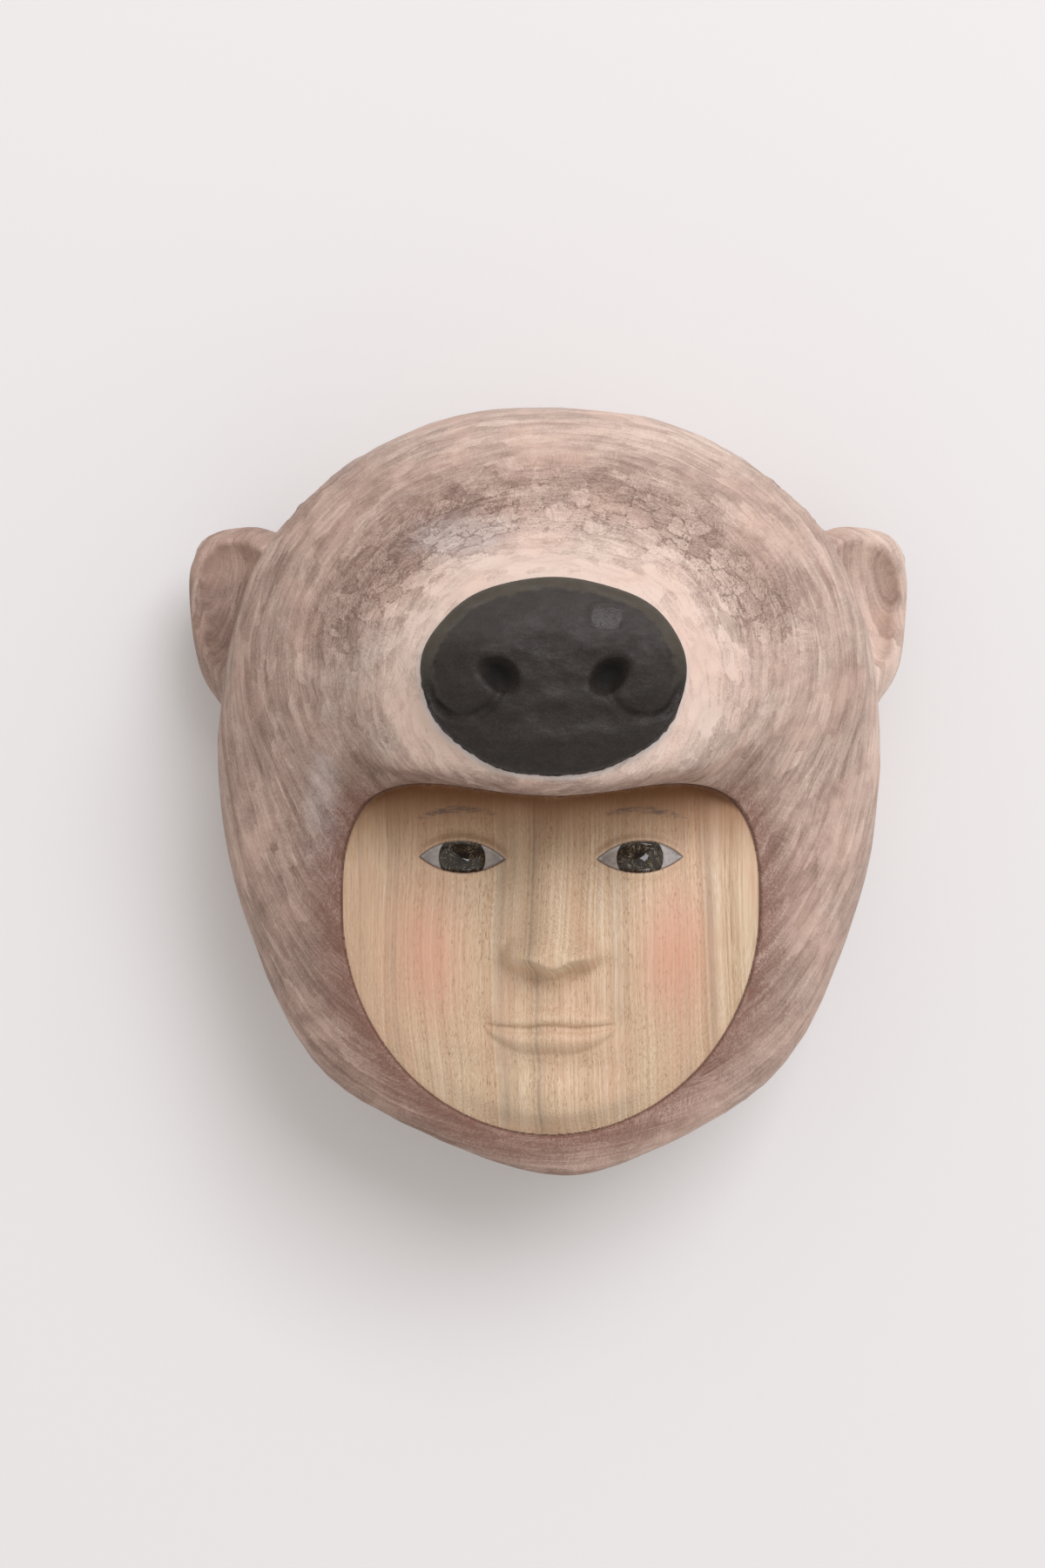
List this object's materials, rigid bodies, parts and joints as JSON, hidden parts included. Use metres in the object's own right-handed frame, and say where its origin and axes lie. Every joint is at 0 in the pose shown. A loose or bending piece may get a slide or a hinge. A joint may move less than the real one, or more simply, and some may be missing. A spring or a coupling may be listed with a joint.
{
  "type": "animal-hooded face mask",
  "caption": "Carved wooden wall mask: a calm bare-wood face looking out from under the snout of a painted bear's head, hollow behind, with a flat back rim.",
  "frame": {"origin": "middle of the overall box, on the flat back that lies on the wall or table", "axes": "+Z the way the face looks, away from the back; +Y towards the crown; +X towards the right as a viewer sees the face"},
  "size_m": [0.2118, 0.2152, 0.1514],
  "materials": {
    "painted_wood": "matt: brushed taupe paint on the bear's head, bare straight-grained wood on the face, charcoal paint on the bear's nose, varnish on the painted eyes"
  },
  "bodies": {
    "root": {"carved_mask": "painted_wood"}
  },
  "joints": []
}
